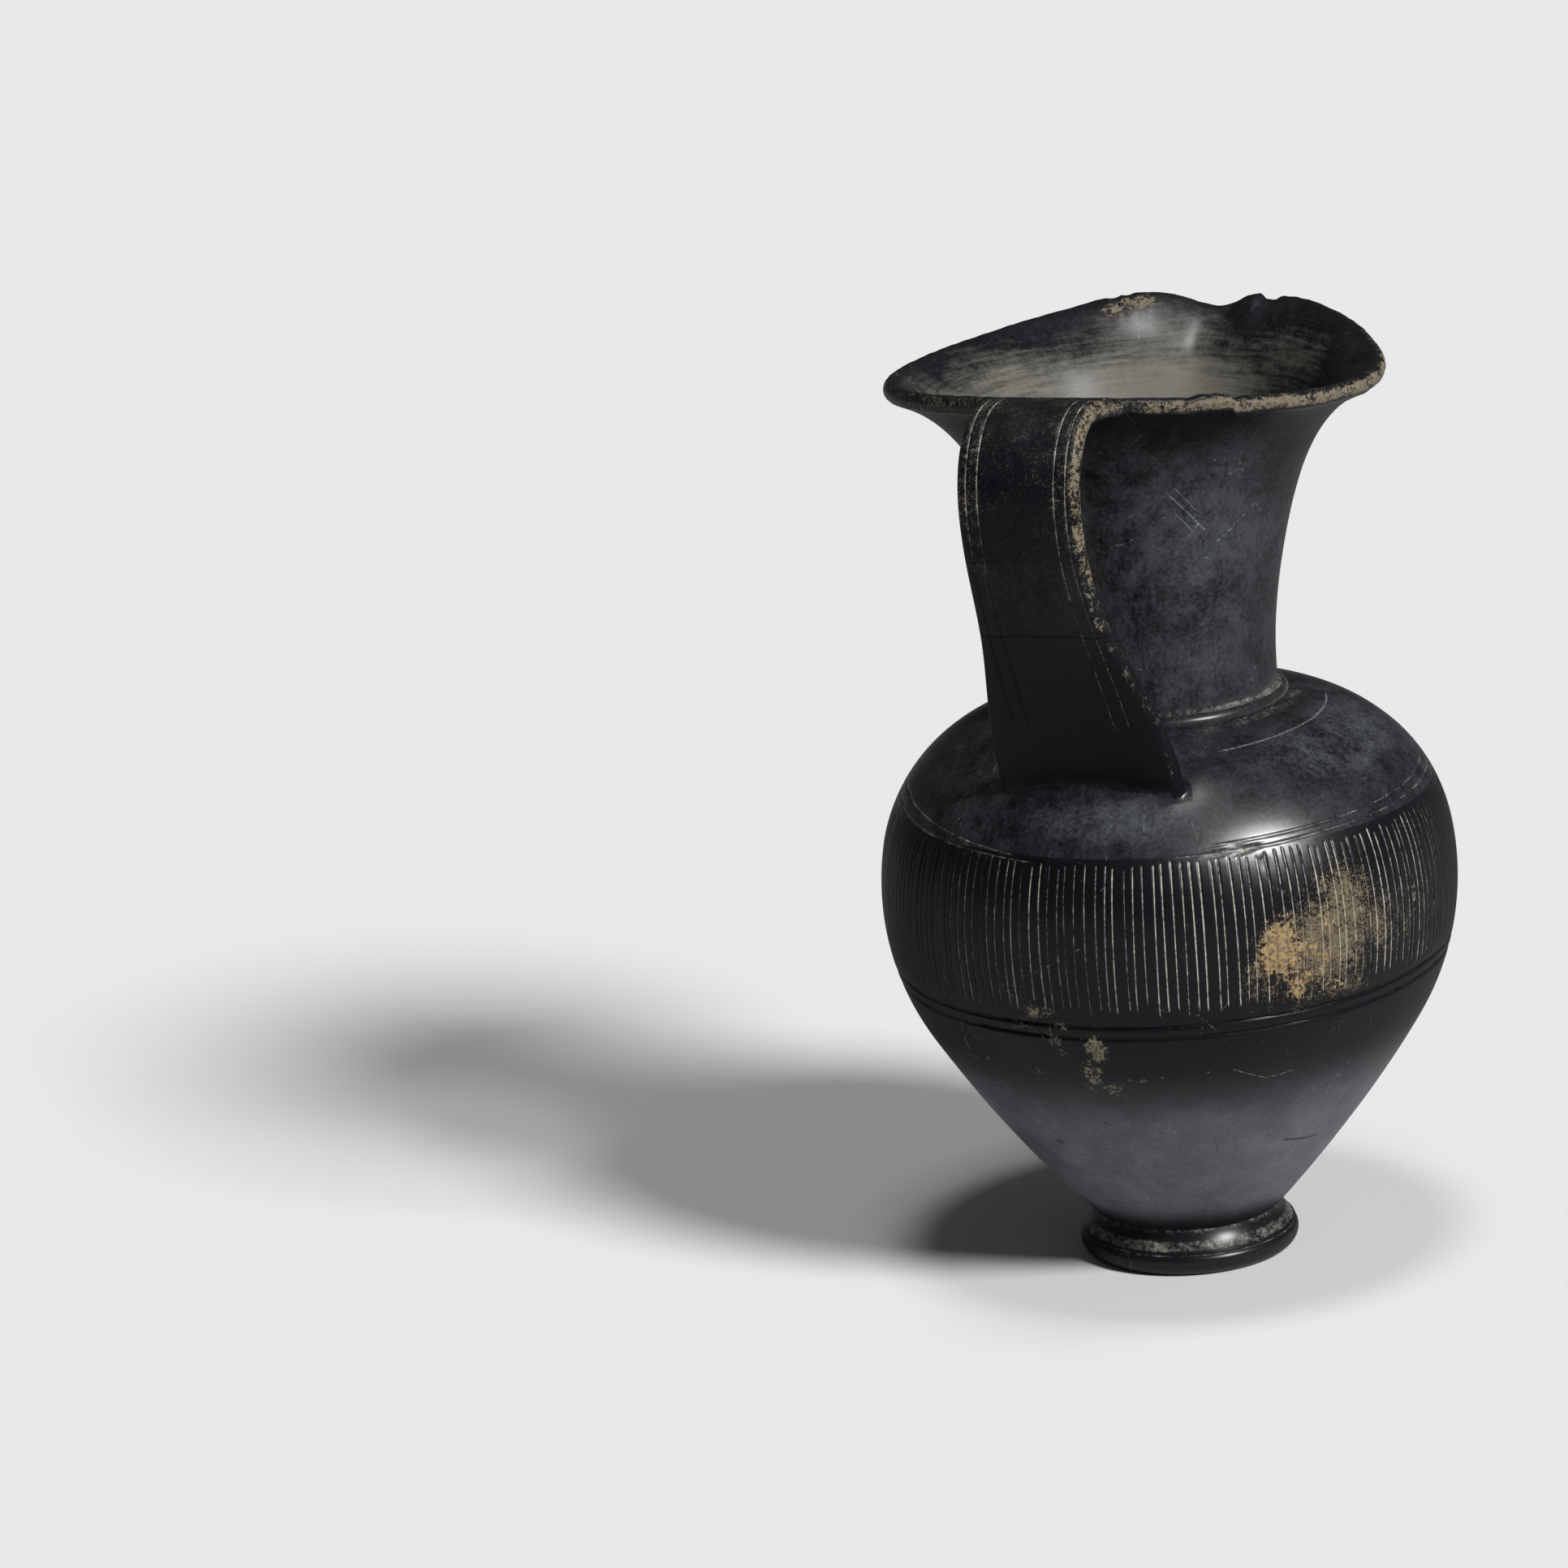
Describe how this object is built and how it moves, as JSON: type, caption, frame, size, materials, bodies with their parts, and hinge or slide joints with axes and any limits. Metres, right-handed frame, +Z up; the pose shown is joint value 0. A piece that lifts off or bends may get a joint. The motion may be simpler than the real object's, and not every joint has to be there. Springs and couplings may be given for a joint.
{
  "type": "oinochoe",
  "caption": "Black clay wine jug with a flaring trefoil mouth, a strap handle, upright strokes round the belly and a low round foot.",
  "frame": {"origin": "on the axis of the turned body, in the plane of the foot's flat underside", "axes": "+Z up along the jug's axis, +X towards the pouring side of the mouth, -X towards the handle"},
  "size_m": [0.1947, 0.1788, 0.2892],
  "materials": {
    "black_clay": "burnished black clay, satin, worn to brown and ochre at the lip, the handle's edge and in patches on the belly"
  },
  "bodies": {
    "root": {"oinochoe": "black_clay"}
  },
  "joints": []
}
